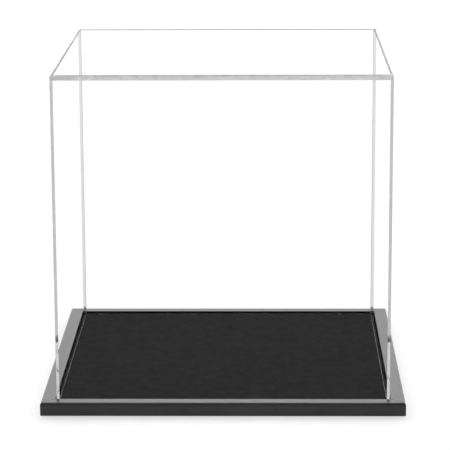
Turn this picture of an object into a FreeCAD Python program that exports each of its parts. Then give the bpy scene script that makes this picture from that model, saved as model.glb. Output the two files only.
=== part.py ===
import FreeCAD, Part

# A display case for one football: a clear cover of five cemented acrylic sheets stands loose in the
# shallow tray of a black mitred base. Millimetres, +Z up, +Y to the back. The origin is the middle of
# the case's footprint, on the surface that its feet stand on.

import math
import os

from FreeCAD import Vector

# Driving dimensions
clear_width = 300.0  # inside the cover, between facing walls, both ways
cover_height = 301.5  # from the cover's standing edge to its top face
wall_thickness = 2.8  # nominal 3 mm sheet
top_thickness = 4.7  # nominal 5 mm sheet
top_round = 2.0  # round-over on the top sheet's upper arris
corner_bevel = 0.3  # polished bevel on the cover's outer upright corners

cover_clearance = 0.8  # between the cover and the tray wall, each side
rail_width = 13.2  # the rail's top, from tray wall to outer face
rail_height = 12.4
rail_round = 2.4  # round-over on the rail's outer upper arris
rail_inner_round = 0.5
rail_foot_bevel = 0.5  # on the rail's outer lower arris
ledge_width = 7.0  # the rail's ledge, which carries the insert board
ledge_height = 3.5

board_thickness = 6.0
suede_thickness = 0.8
insert_clearance = 0.2  # between the insert and the tray wall, each side

wedge_leg = 3.6  # V-shaped mitre wedge, length of one leg
wedge_gauge = 0.5
wedge_height = 8.0
wedge_insets = (4.2, 9.6)  # from the base's outer faces to each wedge's tip

screw_length = 8.0
screw_shank = 3.0
screw_head = 5.6
screw_head_height = 1.5
screw_recess = 3.0  # width of the cross-shaped driver recess
screw_recess_slot = 0.7
screw_recess_depth = 1.0
screw_offset = 95.0  # each rail's two screws, from the middle of the rail

foot_diameter = 12.0
foot_height = 1.5
foot_bevel = 0.4
foot_inset = 16.0  # foot centre from the base's outer faces

# Worked out from them
cover_width = clear_width + 2 * wall_thickness
wall_height = cover_height - top_thickness
tray_width = cover_width + 2 * cover_clearance
base_width = tray_width + 2 * rail_width
insert_width = tray_width - 2 * insert_clearance
base_z = foot_height
board_z = base_z + ledge_height
suede_z = board_z + board_thickness
cover_z = suede_z + suede_thickness
wall_offset = (clear_width + wall_thickness) / 2  # a wall's middle plane from the case's axis
outer = base_width / 2
tray = tray_width / 2
up = Vector(0, 0, 1)

SIDES = {"front": 0, "right": 90, "back": 180, "left": 270}  # turn about Z from the front
CORNERS = {"front_left": (-1, -1), "front_right": (1, -1), "back_right": (1, 1), "back_left": (-1, 1)}


def block(width, depth, height, x=0.0, y=0.0, z=0.0):
    """A box centred on x and y, standing on z."""
    return Part.makeBox(width, depth, height, Vector(x - width / 2, y - depth / 2, z))


def turned(shape, degrees):
    """A copy turned about the case's upright axis."""
    copy = shape.copy()
    copy.rotate(Vector(0, 0, 0), up, degrees)
    return copy


def prism(points, direction):
    """A straight-sided solid on a closed outline."""
    return Part.Face(Part.makePolygon(points + points[:1])).extrude(direction)


def edges_where(shape, test):
    """The edges whose two ends both pass the test."""
    return [e for e in shape.Edges if len(e.Vertexes) == 2 and all(test(v.Point) for v in e.Vertexes)]


def end_wall():
    """The front or back sheet, which fits between the two side sheets."""
    return block(clear_width, wall_thickness, wall_height, z=cover_z)


def side_wall():
    """A side sheet, full depth, with its two outer upright corners bevelled."""
    wall = block(wall_thickness, cover_width, wall_height, z=cover_z)
    face = wall_thickness / 2
    corners = edges_where(wall, lambda p: math.isclose(p.x, face) and math.isclose(abs(p.y), cover_width / 2))
    uprights = [e for e in corners if math.isclose(e.Length, wall_height)]
    return wall.makeChamfer(corner_bevel, uprights)


def top_sheet():
    """The top, which lies on all four walls, with a rounded upper arris."""
    top_z = cover_z + cover_height
    sheet = block(cover_width, cover_width, top_thickness, z=cover_z + wall_height)
    return sheet.makeFillet(top_round, edges_where(sheet, lambda p: math.isclose(p.z, top_z)))


def rail_profile():
    """The moulding's section in the YZ plane, seen at the front: outer face at -Y, ledge towards +Y."""
    top = base_z + rail_height
    corner = math.sqrt(0.5)
    outer_round = Part.Arc(
        Vector(0, -outer, top - rail_round),
        Vector(0, -outer + rail_round * (1 - corner), top - rail_round * (1 - corner)),
        Vector(0, -outer + rail_round, top),
    )
    inner_round = Part.Arc(
        Vector(0, -tray - rail_inner_round, top),
        Vector(0, -tray - rail_inner_round * (1 - corner), top - rail_inner_round * (1 - corner)),
        Vector(0, -tray, top - rail_inner_round),
    )
    ledge = [
        Vector(0, -tray, top - rail_inner_round),
        Vector(0, -tray, base_z + ledge_height),
        Vector(0, -tray + ledge_width, base_z + ledge_height),
        Vector(0, -tray + ledge_width, base_z),
        Vector(0, -outer + rail_foot_bevel, base_z),
        Vector(0, -outer, base_z + rail_foot_bevel),
        Vector(0, -outer, top - rail_round),
    ]
    edges = [outer_round.toShape()]
    edges.append(Part.makeLine(Vector(0, -outer + rail_round, top), Vector(0, -tray - rail_inner_round, top)))
    edges.append(inner_round.toShape())
    edges += [Part.makeLine(a, b) for a, b in zip(ledge, ledge[1:])]
    return Part.Face(Part.Wire(edges))


def front_rail():
    """One length of moulding, mitred at both ends."""
    bar = rail_profile().extrude(Vector(base_width, 0, 0))
    bar.translate(Vector(-outer, 0, 0))
    quarter = [Vector(0, 0, 0), Vector(-base_width, -base_width, 0), Vector(base_width, -base_width, 0)]
    return bar.common(prism(quarter, up * (base_z + rail_height + 1)))


def mitre_wedge(inset):
    """A V of bent strip driven up across the front left mitre, its tip towards the corner."""
    tip = -outer + inset
    outline = [
        (0, 0),
        (wedge_leg, 0),
        (wedge_leg, wedge_gauge),
        (wedge_gauge, wedge_gauge),
        (wedge_gauge, wedge_leg),
        (0, wedge_leg),
    ]
    return prism([Vector(tip + x, tip + y, base_z) for x, y in outline], up * wedge_height)


def mitre_wedges():
    """Every wedge: the same row of them at each of the four mitres."""
    return [turned(mitre_wedge(inset), turn) for turn in SIDES.values() for inset in wedge_insets]


def board_screw(x):
    """A countersunk screw driven up through the front rail's ledge into the insert board."""
    y = -tray + ledge_width / 2
    head = Part.makeCone(screw_head / 2, screw_shank / 2, screw_head_height, Vector(x, y, base_z))
    tip_length = screw_shank / 2
    body_length = screw_length - tip_length - screw_head_height
    body = Part.makeCylinder(screw_shank / 2, body_length, Vector(x, y, base_z + screw_head_height))
    tip_z = base_z + screw_length - tip_length
    tip = Part.makeCone(screw_shank / 2, 0, tip_length, Vector(x, y, tip_z))
    return head.fuse([body, tip]).removeSplitter()


def driver_recess(screw):
    """The cross-shaped recess in a screw's head."""
    centre = screw.BoundBox.Center
    along = block(screw_recess, screw_recess_slot, screw_recess_depth, centre.x, centre.y, base_z)
    across = block(screw_recess_slot, screw_recess, screw_recess_depth, centre.x, centre.y, base_z)
    return along.fuse(across)


def board_screws():
    """Two screws in each rail, with their heads still closed."""
    pair = [board_screw(-screw_offset), board_screw(screw_offset)]
    return [turned(screw, turn) for turn in SIDES.values() for screw in pair]


def foot():
    """A stick-on rubber pad, bevelled where it meets the surface."""
    pad = Part.makeCylinder(foot_diameter / 2, foot_height)
    rim = [e for e in pad.Edges if math.isclose(e.BoundBox.ZMax, 0.0, abs_tol=1e-6)]
    return pad.makeChamfer(foot_bevel, rim)


def cover_parts():
    """The five sheets of the cover."""
    front = end_wall()
    front.translate(Vector(0, -wall_offset, 0))
    right = side_wall()
    right.translate(Vector(wall_offset, 0, 0))
    return {
        "front_panel": front,
        "back_panel": turned(front, 180),
        "right_panel": right,
        "left_panel": turned(right, 180),
        "top_panel": top_sheet(),
    }


def base_parts():
    """The mitred frame, what it carries and what holds it together."""
    wedges = mitre_wedges()
    screws = board_screws()
    rail = front_rail()
    parts = {}
    for side, turn in SIDES.items():
        parts[f"{side}_rail"] = turned(rail, turn).cut(wedges + screws)
    parts["insert_board"] = block(insert_width, insert_width, board_thickness, z=board_z).cut(screws)
    parts["suede_lining"] = block(insert_width, insert_width, suede_thickness, z=suede_z)
    parts["mitre_wedges"] = Part.makeCompound(wedges)
    parts["board_screws"] = Part.makeCompound([screw.cut(driver_recess(screw)) for screw in screws])
    pad = foot()
    for corner, (x, y) in CORNERS.items():
        place = pad.copy()
        place.translate(Vector(x * (outer - foot_inset), y * (outer - foot_inset), 0))
        parts[f"foot_{corner}"] = place
    return parts


os.makedirs("parts", exist_ok=True)
for node, shape in {**cover_parts(), **base_parts()}.items():
    box = shape.BoundBox
    print(
        f"{node:18s} solids {len(shape.Solids)} valid {shape.isValid()} volume {shape.Volume:11.1f}"
        f"  x {box.XMin:7.1f} {box.XMax:6.1f}  y {box.YMin:7.1f} {box.YMax:6.1f}  z {box.ZMin:5.1f} {box.ZMax:5.1f}"
    )
    shape.exportStep(f"parts/{node}.step")
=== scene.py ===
import math

import bmesh
import bpy
from mathutils import Matrix, Vector, noise


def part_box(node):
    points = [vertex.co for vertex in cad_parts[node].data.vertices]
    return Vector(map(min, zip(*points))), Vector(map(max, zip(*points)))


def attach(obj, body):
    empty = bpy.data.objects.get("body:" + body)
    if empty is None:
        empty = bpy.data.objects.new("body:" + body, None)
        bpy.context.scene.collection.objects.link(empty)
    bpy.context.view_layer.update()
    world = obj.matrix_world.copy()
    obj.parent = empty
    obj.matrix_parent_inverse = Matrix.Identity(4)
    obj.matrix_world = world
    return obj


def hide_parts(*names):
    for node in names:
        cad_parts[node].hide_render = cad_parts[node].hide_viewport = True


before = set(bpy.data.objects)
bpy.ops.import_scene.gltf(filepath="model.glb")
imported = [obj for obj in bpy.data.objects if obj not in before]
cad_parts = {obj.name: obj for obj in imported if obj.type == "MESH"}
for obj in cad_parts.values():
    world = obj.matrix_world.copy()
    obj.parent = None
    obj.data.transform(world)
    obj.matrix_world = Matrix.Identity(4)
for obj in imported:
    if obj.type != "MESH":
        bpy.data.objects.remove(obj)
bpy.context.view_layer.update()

MM = 0.001
COVER, BASE = "cover", "base"
ACROSS_X, ACROSS_Y = 0, 1

# On a sheet's low and high sides, the axes along which it is cemented to a neighbour
ENDS_AND_TOP = ((1, 0, 0), (1, 0, 1))
TOP_ONLY = ((0, 0, 0), (0, 0, 1))
NOWHERE = ((0, 0, 0), (0, 0, 0))

# Acrylic sheets
BOND = 0.03 * MM  # cemented faces pass this far into their neighbour, so that no air lies between them
TOP_ROUND = 2.0 * MM
UPRIGHT_BEVEL = 0.3 * MM
FOOT_BEVEL = 0.15 * MM  # on the inner arris of the edge that a wall stands on
CEMENT_FILLET = 0.4 * MM  # where the back sheet meets the side sheets
ACRYLIC_IOR = 1.49
MIRROR_POWER = 6  # keeps total reflection inside a sheet and little else
ACRYLIC_DENSITY = 0.3  # absorption per metre, which greys what is seen along a sheet
FACE_PASS = 0.99  # what a polished face lets through
EDGE_PASS = 0.75  # and a cut one
WALL_HAZE = 0.16  # how matt a wall's cut edges are
TOP_HAZE = 0.5  # and the top sheet's, which are scraped
JOINT_HAZE = 0.75  # of the cement between the side sheets and the top
END_JOINT_HAZE = 0.2  # and between the front and back sheets and the top
CEMENT_HAZE = 1.0
CEMENT = (0.3, 0.31, 0.31)

# Base
ARRIS = 0.2 * MM
RAIL_ROUND = 2.4 * MM
MITRE_LINE = 0.35 * MM  # half the width of the dull line at a mitre: the joint is real, but the gloss is removed along it as painted shade of the gap between the mitred ends
SUEDE_STEP = 1.4 * MM  # between the cloth's points
SUEDE_DROP = 0.09 * MM  # the nap's mean surface below the cloth's highest point
SUEDE_WAVE = 0.05 * MM
FOOT_TURNS = 64

# Studio light
WALL = 1.32  # radiance
BACK_GLOW = 2.9
CEILING = 0.5
KEY = 0.35  # strength of the side lamp
FILL = 0.2  # and of the one overhead
LAMP_SPREAD = 60  # degrees
FLOOR_WHITE = 0.35
FLOOR_GLOW = 0.57  # the floor is a lit table, which keeps shadows faint
GUIDED_BOUNCES = 48  # light held inside a sheet crosses it many times


def material(name):
    """An empty node material with its Principled shader, its node tree and its output."""
    mat = bpy.data.materials.new(name)
    mat.use_nodes = True
    nodes = mat.node_tree.nodes
    return mat, mat.node_tree, nodes["Principled BSDF"], nodes["Material Output"]


def node(tree, kind, **values):
    """A node of that kind with its inputs and properties set by name."""
    made = tree.nodes.new(kind)
    for key, value in values.items():
        if key in made.inputs:
            made.inputs[key].default_value = value
        else:
            setattr(made, key, value)
    return made


def link(tree, source, target):
    tree.links.new(source, target)


def maths(tree, operation, *values):
    """A Math node's result. A value is a number or another node's output."""
    made = node(tree, "ShaderNodeMath", operation=operation)
    for socket, value in zip(made.inputs, values):
        if isinstance(value, (int, float)):
            socket.default_value = value
        else:
            link(tree, value, socket)
    return made.outputs[0]


def ramp(tree, source, lo, hi, at_lo, at_hi, smooth=True):
    """Maps a value between two limits to a value between two others, and holds it beyond them."""
    kind = "SMOOTHSTEP" if smooth else "LINEAR"
    step = node(tree, "ShaderNodeMapRange", interpolation_type=kind)
    for key, value in zip(("From Min", "From Max", "To Min", "To Max"), (lo, hi, at_lo, at_hi)):
        step.inputs[key].default_value = value
    link(tree, source, step.inputs["Value"])
    return step.outputs["Result"]


def grain(tree, scale, detail=2.0, roughness=0.5, vector=None, distortion=0.0):
    """Noise of that many cells a metre, from 0 to 1, on the object's coordinates or on a given vector."""
    made = node(tree, "ShaderNodeTexNoise", Scale=scale, Detail=detail, Roughness=roughness)
    made.inputs["Distortion"].default_value = distortion
    if vector is None:
        vector = node(tree, "ShaderNodeTexCoord").outputs["Object"]
    link(tree, vector, made.inputs["Vector"])
    return made.outputs["Fac"]


def tinted(tree, share, first, second):
    """A colour between two colours."""
    mix = node(tree, "ShaderNodeMix", data_type="RGBA")
    mix.inputs[6].default_value = (*first, 1)
    mix.inputs[7].default_value = (*second, 1)
    link(tree, share, mix.inputs[0])
    return mix.outputs[2]


def bump(tree, height, distance, strength, after=None):
    made = node(tree, "ShaderNodeBump", Strength=strength, Distance=distance)
    link(tree, height, made.inputs["Height"])
    if after is not None:
        link(tree, after, made.inputs["Normal"])
    return made.outputs["Normal"]


def mixed(tree, share, first, second):
    """One shader with a share of another."""
    mix = node(tree, "ShaderNodeMixShader")
    link(tree, share, mix.inputs[0])
    link(tree, first.outputs[0], mix.inputs[1])
    link(tree, second.outputs[0], mix.inputs[2])
    return mix


def sheet_optics(tree, passed):
    """Light bent at a sheet's surface, held inside by total reflection and hardly mirrored from outside."""
    bent = node(tree, "ShaderNodeBsdfRefraction", Roughness=0.0, IOR=ACRYLIC_IOR)
    mirror = node(tree, "ShaderNodeBsdfGlossy", Roughness=0.0)
    for shader in (bent, mirror):
        link(tree, passed, shader.inputs["Color"])
    fresnel = node(tree, "ShaderNodeFresnel", IOR=ACRYLIC_IOR)
    share = maths(tree, "POWER", fresnel.outputs[0], MIRROR_POWER)
    return mixed(tree, share, bent, mirror)


def guided(tree):
    """One for light that was bent on its way into a sheet, as at an edge, and meets a face from inside."""
    path = node(tree, "ShaderNodeLightPath")
    face = node(tree, "ShaderNodeNewGeometry")
    held = maths(tree, "GREATER_THAN", maths(tree, "MODULO", path.outputs["Transmission Depth"], 2.0), 0.5)
    return maths(tree, "MULTIPLY", held, face.outputs["Backfacing"])


def matt_acrylic(tree, shader, haze, cloud):
    """Sawn or scraped acrylic, white and faintly streaked, or grey cement where the haze is full."""
    colour = node(tree, "ShaderNodeMix", data_type="RGBA")
    link(tree, ramp(tree, haze, 0.9, 0.98, 0.0, 1.0), colour.inputs[0])
    link(tree, tinted(tree, cloud, (0.90, 0.91, 0.91), (0.83, 0.85, 0.85)), colour.inputs[6])
    colour.inputs[7].default_value = (*CEMENT, 1)
    link(tree, colour.outputs[2], shader.inputs["Base Color"])
    link(tree, ramp(tree, cloud, 0.3, 0.7, 0.42, 0.6), shader.inputs["Roughness"])
    streaks = node(tree, "ShaderNodeMapping", vector_type="POINT", Scale=(1, 1, 0.06))
    link(tree, node(tree, "ShaderNodeTexCoord").outputs["Object"], streaks.inputs["Vector"])
    sawn = grain(tree, 2600, detail=3, vector=streaks.outputs["Vector"])
    link(tree, bump(tree, sawn, 0.02 * MM, 0.15), shader.inputs["Normal"])


def acrylic():
    """Cast sheet: polished faces that show what is behind them, and slightly matt cut edges."""
    mat, tree, shader, out = material("clear_acrylic")
    haze = node(tree, "ShaderNodeAttribute", attribute_name="haze").outputs["Fac"]
    optics = sheet_optics(tree, ramp(tree, haze, 0.005, 0.015, 1.0, EDGE_PASS))
    through = node(tree, "ShaderNodeBsdfTransparent", Color=(FACE_PASS, FACE_PASS, FACE_PASS, 1))
    face = mixed(tree, guided(tree), through, optics)
    bends = node(tree, "ShaderNodeAttribute", attribute_name="bends").outputs["Fac"]
    polished = mixed(tree, bends, face, optics)

    cloud = grain(tree, 160, detail=4)
    matt_acrylic(tree, shader, haze, cloud)
    matt = maths(tree, "MULTIPLY", haze, ramp(tree, cloud, 0.25, 0.75, 0.8, 1.2))
    surface = mixed(tree, matt, polished, shader)

    volume = node(tree, "ShaderNodeVolumeAbsorption", Color=(0.0, 0.02, 0.02, 1), Density=ACRYLIC_DENSITY)
    link(tree, surface.outputs[0], out.inputs["Surface"])
    link(tree, volume.outputs[0], out.inputs["Volume"])
    return mat


def along_rail(tree):
    """Where a point of the square frame lies: along its rail, across it and in height, then the larger and
    the smaller of its two distances from the frame's middle."""
    place = node(tree, "ShaderNodeSeparateXYZ")
    link(tree, node(tree, "ShaderNodeTexCoord").outputs["Object"], place.inputs[0])
    x, y, z = place.outputs
    wide_x, wide_y = maths(tree, "ABSOLUTE", x), maths(tree, "ABSOLUTE", y)
    side_rail = maths(tree, "GREATER_THAN", wide_x, wide_y)
    length = node(tree, "ShaderNodeMix", data_type="FLOAT")
    across = node(tree, "ShaderNodeMix", data_type="FLOAT")
    for mix, first, second in ((length, x, y), (across, y, x)):
        link(tree, side_rail, mix.inputs[0])
        link(tree, first, mix.inputs[2])
        link(tree, second, mix.inputs[3])
    outward, inward = (maths(tree, pick, wide_x, wide_y) for pick in ("MAXIMUM", "MINIMUM"))
    return length.outputs[0], across.outputs[0], z, outward, inward


def black_lacquer():
    """Black satin lacquer over close-grained wood, a little rubbed along its outer arris."""
    mat, tree, shader, _ = material("black_lacquer")
    length, across, height, outward, inward = along_rail(tree)
    fibres = node(tree, "ShaderNodeCombineXYZ")
    link(tree, maths(tree, "MULTIPLY", length, 0.05), fibres.inputs[0])
    link(tree, across, fibres.inputs[1])
    link(tree, height, fibres.inputs[2])
    pores = grain(tree, 1500, detail=5, roughness=0.6, vector=fibres.outputs[0])
    strokes = grain(tree, 160, detail=2, vector=fibres.outputs[0])
    cloud = grain(tree, 45, detail=3)
    peel = grain(tree, 150, detail=1)

    outside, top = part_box("back_rail")[1][1:]
    near_top = ramp(tree, height, top - RAIL_ROUND, top - RAIL_ROUND * 0.3, 0.0, 1.0)
    near_side = ramp(tree, outward, outside - RAIL_ROUND, outside - RAIL_ROUND * 0.3, 0.0, 1.0)
    patches = ramp(tree, grain(tree, 220, detail=5, roughness=0.65), 0.52, 0.68, 0.0, 1.0)
    rubbed = maths(tree, "MULTIPLY", maths(tree, "MULTIPLY", near_top, near_side), patches)

    shade = maths(tree, "ADD", maths(tree, "MULTIPLY", cloud, 0.6), maths(tree, "MULTIPLY", pores, 0.4))
    depth = ramp(tree, shade, 0.3, 0.7, 0.0, 1.0)
    plain_black = tinted(tree, depth, (0.0074, 0.0076, 0.0078), (0.0116, 0.0114, 0.0112))
    colour = node(tree, "ShaderNodeMix", data_type="RGBA")
    link(tree, maths(tree, "MULTIPLY", rubbed, 0.6), colour.inputs[0])
    link(tree, plain_black, colour.inputs[6])
    colour.inputs[7].default_value = (0.0165, 0.0155, 0.0145, 1)
    link(tree, colour.outputs[2], shader.inputs["Base Color"])

    # Painted shade: along each mitre the lacquer loses its gloss, standing in for the shade in the joint's
    # gap
    seam = maths(tree, "ABSOLUTE", maths(tree, "SUBTRACT", outward, inward))
    whole = ramp(tree, seam, MITRE_LINE * 0.4, MITRE_LINE, 0.0, 1.0)

    satin = ramp(tree, cloud, 0.3, 0.7, 0.265, 0.295)
    brushed = maths(tree, "ADD", satin, maths(tree, "MULTIPLY", strokes, 0.02))
    link(tree, brushed, shader.inputs["Roughness"])
    link(tree, maths(tree, "MULTIPLY", whole, 0.4), shader.inputs["Specular IOR Level"])
    link(tree, bump(tree, peel, 0.01 * MM, 0.15), shader.inputs["Normal"])
    return mat


def suede():
    """Black synthetic suede: a short nap that lies this way and that, with a soft sheen."""
    mat, tree, shader, _ = material("suede")
    brushed = grain(tree, 110, detail=5, roughness=0.7, distortion=0.4)
    tufts = grain(tree, 700, detail=4, roughness=0.7)
    fibres = grain(tree, 4200, detail=2, roughness=0.6)
    lie = maths(tree, "ADD", maths(tree, "MULTIPLY", brushed, 0.4), maths(tree, "MULTIPLY", tufts, 0.6))
    shade = ramp(tree, lie, 0.36, 0.64, 0.0, 1.0, smooth=False)
    pile = tinted(tree, shade, (0.0082, 0.0082, 0.0078), (0.0198, 0.0194, 0.0194))
    link(tree, pile, shader.inputs["Base Color"])
    link(tree, ramp(tree, fibres, 0.2, 0.8, 0.85, 1.0), shader.inputs["Roughness"])
    shader.inputs["Specular IOR Level"].default_value = 0.02
    link(tree, ramp(tree, lie, 0.35, 0.65, 0.004, 0.012), shader.inputs["Sheen Weight"])
    shader.inputs["Sheen Roughness"].default_value = 0.45
    shader.inputs["Sheen Tint"].default_value = (0.9, 0.9, 0.92, 1)
    nap = bump(tree, tufts, 0.12 * MM, 0.5)
    link(tree, bump(tree, fibres, 0.05 * MM, 0.6, after=nap), shader.inputs["Normal"])
    return mat


def fibreboard():
    """Pressed wood fibre: brown, speckled with darker and lighter fibres."""
    mat, tree, shader, _ = material("fibreboard")
    place = node(tree, "ShaderNodeMapping", vector_type="POINT", Scale=(1, 1, 3))
    link(tree, node(tree, "ShaderNodeTexCoord").outputs["Object"], place.inputs["Vector"])
    flecks = grain(tree, 900, detail=6, roughness=0.75, vector=place.outputs["Vector"], distortion=1.5)
    cloud = grain(tree, 30, detail=3)
    lie = maths(tree, "ADD", maths(tree, "MULTIPLY", flecks, 0.75), maths(tree, "MULTIPLY", cloud, 0.25))
    shade = ramp(tree, lie, 0.35, 0.65, 0.0, 1.0)
    link(tree, tinted(tree, shade, (0.20, 0.125, 0.07), (0.40, 0.28, 0.17)), shader.inputs["Base Color"])
    link(tree, ramp(tree, flecks, 0.3, 0.7, 0.72, 0.92), shader.inputs["Roughness"])
    link(tree, bump(tree, flecks, 0.08 * MM, 0.5), shader.inputs["Normal"])
    return mat


def steel(name, first, second):
    """Plated steel with fine scratches."""
    mat, tree, shader, _ = material(name)
    cloud = grain(tree, 400, detail=4)
    scratches = grain(tree, 5200, detail=3, roughness=0.7, distortion=2.0)
    shade = ramp(tree, cloud, 0.3, 0.7, 0.0, 1.0)
    link(tree, tinted(tree, shade, first, second), shader.inputs["Base Color"])
    shader.inputs["Metallic"].default_value = 1.0
    link(tree, ramp(tree, scratches, 0.3, 0.7, 0.22, 0.42), shader.inputs["Roughness"])
    link(tree, bump(tree, scratches, 0.01 * MM, 0.4), shader.inputs["Normal"])
    return mat


def rubber():
    """Black moulded rubber with a dusty bloom."""
    mat, tree, shader, _ = material("foot_rubber")
    bloom = grain(tree, 260, detail=5, roughness=0.65)
    pits = grain(tree, 3800, detail=2)
    shade = ramp(tree, bloom, 0.35, 0.7, 0.0, 1.0)
    link(tree, tinted(tree, shade, (0.014, 0.014, 0.015), (0.034, 0.033, 0.032)), shader.inputs["Base Color"])
    link(tree, ramp(tree, bloom, 0.3, 0.7, 0.6, 0.82), shader.inputs["Roughness"])
    shader.inputs["Specular IOR Level"].default_value = 0.3
    link(tree, bump(tree, pits, 0.02 * MM, 0.5), shader.inputs["Normal"])
    return mat


def floor_white():
    """A lit white table."""
    mat, tree, shader, _ = material("floor_white")
    shader.inputs["Base Color"].default_value = (FLOOR_WHITE, FLOOR_WHITE, FLOOR_WHITE, 1)
    shader.inputs["Emission Color"].default_value = (1, 1, 1, 1)
    shader.inputs["Emission Strength"].default_value = FLOOR_GLOW
    shader.inputs["Roughness"].default_value = 0.9
    return mat


def new_piece(name, mesh_data, mats, body, slot_name, *nodes):
    """Puts a mesh in the scene as a piece that stands for these CAD nodes."""
    mesh = bpy.data.meshes.new(name)
    mesh_data.to_mesh(mesh)
    mesh_data.free()
    for mat in mats:
        mesh.materials.append(mat)
    piece = bpy.data.objects.new(name, mesh)
    bpy.context.scene.collection.objects.link(piece)
    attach(piece, body)
    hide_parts(*nodes)
    return piece


def smooth(piece, degrees=35):
    """Smooth shading across rounds, with the flat faces kept flat."""
    mesh = piece.data
    mesh.shade_smooth()
    mesh.set_sharp_from_angle(angle=math.radians(degrees))
    weighted = piece.modifiers.new("flat faces", "WEIGHTED_NORMAL")
    weighted.keep_sharp = True
    weighted.weight = 100


def block(lo, hi):
    """A box between two corners as a bmesh."""
    bm = bmesh.new()
    bmesh.ops.create_cube(bm, size=1.0)
    size, middle = hi - lo, (lo + hi) / 2
    for v in bm.verts:
        v.co = Vector(a * b + c for a, b, c in zip(v.co, size, middle))
    return bm


def bevel(bm, test, width, segments):
    """Bevels the edges that pass the test, which gets an edge's two ends."""
    edges = [e for e in bm.edges if test(e.verts[0].co, e.verts[1].co)]
    bmesh.ops.bevel(bm, geom=edges, offset=width, segments=segments, profile=0.5, affect="EDGES")


def near(a, b):
    return abs(a - b) < 1e-6


def upright(a, b):
    return near(a.x, b.x) and near(a.y, b.y)


def facing(normal):
    """The axis that a flat face looks along, or None if it is slanted."""
    return next((axis for axis in range(3) if abs(normal[axis]) > 0.99), None)


def panel(node_name, mat, bonded, cuts, cut_haze, joint_haze=0.0, cement=False):
    """An acrylic sheet on its CAD node's box. bonded says how far its low and high faces pass into others."""
    lo, hi = (Vector(c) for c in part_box(node_name))
    lo = lo - Vector(bonded[0]) * BOND
    hi = hi + Vector(bonded[1]) * BOND
    bm = block(lo, hi)
    for test, width, segments in cuts(lo, hi):
        bevel(bm, test, width, segments)
    size = hi - lo
    across = min(range(3), key=lambda i: size[i])
    haze = bm.faces.layers.float.new("haze")
    bends = bm.faces.layers.float.new("bends")
    for face in bm.faces:
        face.normal_update()
        axis = facing(face.normal)
        broad = axis == across
        upright_joint = axis is not None and axis < 2 and bonded[int(face.normal[axis] > 0)][axis]
        standing = axis == 2 and face.normal.z < 0 and across != 2
        fillet = cement and axis is None and abs(face.normal.z) < 0.01
        under_top = axis == 2 and face.normal.z > 0 and across != 2
        clear = broad or upright_joint or standing
        face[haze] = CEMENT_HAZE if fillet else 0.0 if clear else joint_haze if under_top else cut_haze
        face[bends] = float(across == 2 or not clear)
    smooth(new_piece("clear_" + node_name, bm, [mat], COVER, "clear_acrylic", node_name))


def wall_cuts(axis, inward, uprights=None):
    """The bevel inside a wall's standing edge and, given a face and a width, those on two upright corners."""

    def cuts(lo, hi):
        inner, outer = (hi, lo) if inward > 0 else (lo, hi)

        def stands(p):
            return near(p.z, lo.z) and near(p[axis], inner[axis])

        made = [(lambda a, b: stands(a) and stands(b), FOOT_BEVEL, 2)]
        if uprights:
            side, width = uprights
            face = {"inner": inner, "outer": outer}[side]
            made.append((lambda a, b: upright(a, b) and near(a[axis], face[axis]), width, 3))
        return made

    return cuts


def top_cuts(lo, hi):
    return [(lambda a, b: near(a.z, hi.z) and near(b.z, hi.z), TOP_ROUND, 10)]


def finish_part(node_name, mat):
    """Gives a CAD part its material."""
    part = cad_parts[node_name]
    for place in part.material_slots:
        place.material = mat
    return part


def ease_arrises(part, width):
    """Rounds a CAD part's sharp arrises a little, as sanding does."""
    weld = part.modifiers.new("weld", "WELD")
    weld.merge_threshold = 0.001 * MM
    ease = part.modifiers.new("ease", "BEVEL")
    ease.width = width
    ease.segments = 2
    ease.limit_method = "ANGLE"
    ease.angle_limit = math.radians(60)
    ease.use_clamp_overlap = False
    weighted = part.modifiers.new("flat faces", "WEIGHTED_NORMAL")
    weighted.weight = 100


def foot(node_name, mat):
    """A moulded pad with a rounded rim and a shallow dish under it."""
    lo, hi = (Vector(c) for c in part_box(node_name))
    middle, radius, height = (lo + hi) / 2, (hi.x - lo.x) / 2, hi.z - lo.z
    dish = [(0, 0.16), (0.42, 0.14), (0.58, 0.05), (0.66, 0.0)]
    rim = [(0.86, 0.0), (0.93, 0.05), (0.97, 0.14), (0.985, 0.3)]
    side = [(1.0, 0.85), (0.995, 1.0), (0, 1.0)]
    bm = bmesh.new()
    rings = []
    for share, rise in dish + rim + side:
        z = lo.z + rise * height
        if share == 0:
            rings.append([bm.verts.new((middle.x, middle.y, z))])
            continue
        ring = []
        for i in range(FOOT_TURNS):
            angle = 2 * math.pi * i / FOOT_TURNS
            x = middle.x + radius * share * math.cos(angle)
            y = middle.y + radius * share * math.sin(angle)
            ring.append(bm.verts.new((x, y, z)))
        rings.append(ring)
    for under, over in zip(rings, rings[1:]):
        for i in range(FOOT_TURNS):
            j = (i + 1) % FOOT_TURNS
            corners = [under[i % len(under)], under[j % len(under)], over[j % len(over)], over[i % len(over)]]
            bm.faces.new(list(dict.fromkeys(corners)))
    bmesh.ops.recalc_face_normals(bm, faces=bm.faces)
    smooth(new_piece("rubber_" + node_name, bm, [mat], BASE, "foot_rubber", node_name), 50)


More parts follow.
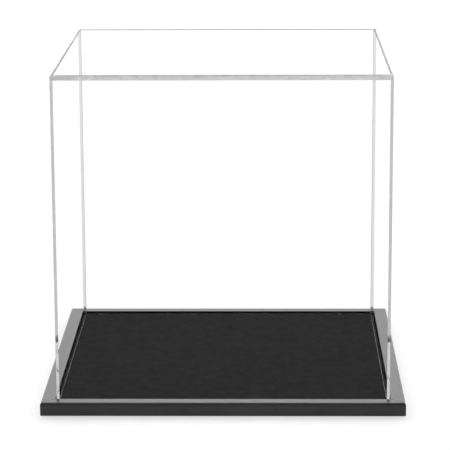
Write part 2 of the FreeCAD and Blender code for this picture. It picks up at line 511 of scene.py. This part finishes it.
def suede_sheet(mat):
    """The cloth on the insert board, with its gentle unevenness."""
    lo, hi = (Vector(c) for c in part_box("suede_lining"))
    count = round((hi.x - lo.x) / SUEDE_STEP)
    bm = bmesh.new()
    rows = []
    for j in range(count + 1):
        row = []
        for i in range(count + 1):
            x = lo.x + (hi.x - lo.x) * i / count
            y = lo.y + (hi.y - lo.y) * j / count
            wave = noise.noise(Vector((x, y, 0)) * 28) * 0.6 + noise.noise(Vector((x, y, 5)) * 140) * 0.4
            z = hi.z - SUEDE_DROP + SUEDE_WAVE * max(-1.0, min(1.0, wave))
            row.append(bm.verts.new((x, y, z)))
        rows.append(row)
    for a, b in zip(rows, rows[1:]):
        for i in range(count):
            bm.faces.new((a[i], a[i + 1], b[i + 1], b[i]))
    piece = new_piece("suede_floor", bm, [mat], BASE, "suede", "suede_lining")
    piece.data.shade_smooth()
    thick = piece.modifiers.new("cloth", "SOLIDIFY")
    thick.thickness = (hi.z - lo.z) - SUEDE_DROP - SUEDE_WAVE
    thick.offset = -1


def camera():
    """The viewpoint: a long lens, a little above the case and a little right of its middle."""
    place = Vector((0.0377, -2.0451, 0.6088))
    pitch, yaw, roll = (math.radians(a) for a in (12.848, -1.063, -0.27))
    data = bpy.data.cameras.new("camera")
    data.sensor_width = 36
    data.lens = 172.55
    data.clip_end = 50
    cam = bpy.data.objects.new("camera", data)
    turn = Matrix.Rotation(-yaw, 4, "Z") @ Matrix.Rotation(math.pi / 2 - pitch, 4, "X")
    cam.matrix_world = Matrix.Translation(place) @ turn @ Matrix.Rotation(roll, 4, "Z")
    bpy.context.scene.collection.objects.link(cam)
    bpy.context.scene.camera = cam


def lamp(name, towards, strength):
    """A far, wide and soft light in that direction, which casts no shadow."""
    data = bpy.data.lights.new(name, "SUN")
    data.use_shadow = False
    data.angle = math.radians(LAMP_SPREAD)
    data.energy = strength
    light = bpy.data.objects.new(name, data)
    light.rotation_euler = Vector(towards).to_track_quat("Z", "Y").to_euler()
    bpy.context.scene.collection.objects.link(light)


def studio_world():
    """White walls with a brighter glow high at the back, under a dim ceiling that reaches down in front."""
    world = bpy.data.worlds.new("studio")
    world.use_nodes = True
    tree = world.node_tree
    parts = tree.nodes.new("ShaderNodeSeparateXYZ")
    link(tree, node(tree, "ShaderNodeTexCoord").outputs["Generated"], parts.inputs[0])
    _, back, height = parts.outputs
    behind = ramp(tree, back, -0.1, 0.35, 0.0, 1.0)
    low = ramp(tree, height, 0.06, 0.2, 1.0, 0.0)
    under_ceiling = ramp(tree, height, 0.78, 0.9, 1.0, 0.0)
    glow = ramp(tree, height, 0.3, 0.45, WALL, BACK_GLOW)
    lit_back = maths(tree, "MULTIPLY", maths(tree, "MULTIPLY", glow, behind), under_ceiling)
    level = maths(tree, "MAXIMUM", maths(tree, "MAXIMUM", lit_back, low), CEILING)
    link(tree, level, tree.nodes["Background"].inputs["Strength"])
    tree.nodes["Background"].inputs["Color"].default_value = (1, 1, 1, 1)
    return world


def studio():
    """A pale floor in even white light, brighter from behind and above."""
    bm = bmesh.new()
    bmesh.ops.create_grid(bm, x_segments=2, y_segments=2, size=30)
    mesh = bpy.data.meshes.new("floor")
    bm.to_mesh(mesh)
    bm.free()
    mesh.materials.append(floor_white())
    floor = bpy.data.objects.new("floor", mesh)
    bpy.context.scene.collection.objects.link(floor)
    bpy.context.scene.world = studio_world()
    lamp("key", (-0.6, -0.05, 1), KEY)
    lamp("fill", (0, 0, 1), FILL)
    view = bpy.context.scene.view_settings
    view.view_transform = "Standard"
    cycles = bpy.context.scene.cycles
    cycles.max_bounces = GUIDED_BOUNCES
    cycles.transmission_bounces = GUIDED_BOUNCES
    cycles.glossy_bounces = GUIDED_BOUNCES // 2


camera()
studio()
sheet = acrylic()
front_cuts = wall_cuts(ACROSS_Y, 1)
back_cuts = wall_cuts(ACROSS_Y, -1, ("inner", CEMENT_FILLET))
left_cuts = wall_cuts(ACROSS_X, 1, ("outer", UPRIGHT_BEVEL))
right_cuts = wall_cuts(ACROSS_X, -1, ("outer", UPRIGHT_BEVEL))
panel("front_panel", sheet, ENDS_AND_TOP, front_cuts, WALL_HAZE, END_JOINT_HAZE)
panel("back_panel", sheet, ENDS_AND_TOP, back_cuts, WALL_HAZE, END_JOINT_HAZE, cement=True)
panel("left_panel", sheet, TOP_ONLY, left_cuts, WALL_HAZE, JOINT_HAZE)
panel("right_panel", sheet, TOP_ONLY, right_cuts, WALL_HAZE, JOINT_HAZE)
panel("top_panel", sheet, NOWHERE, top_cuts, TOP_HAZE)

lacquer = black_lacquer()
for side in ("front", "right", "back", "left"):
    ease_arrises(finish_part(f"{side}_rail", lacquer), ARRIS)
suede_sheet(suede())
finish_part("insert_board", fibreboard())
finish_part("board_screws", steel("zinc_plate", (0.62, 0.61, 0.56), (0.72, 0.71, 0.68)))
finish_part("mitre_wedges", steel("steel_strip", (0.42, 0.42, 0.43), (0.55, 0.55, 0.56)))
pad = rubber()
for corner in ("front_left", "front_right", "back_right", "back_left"):
    foot("foot_" + corner, pad)
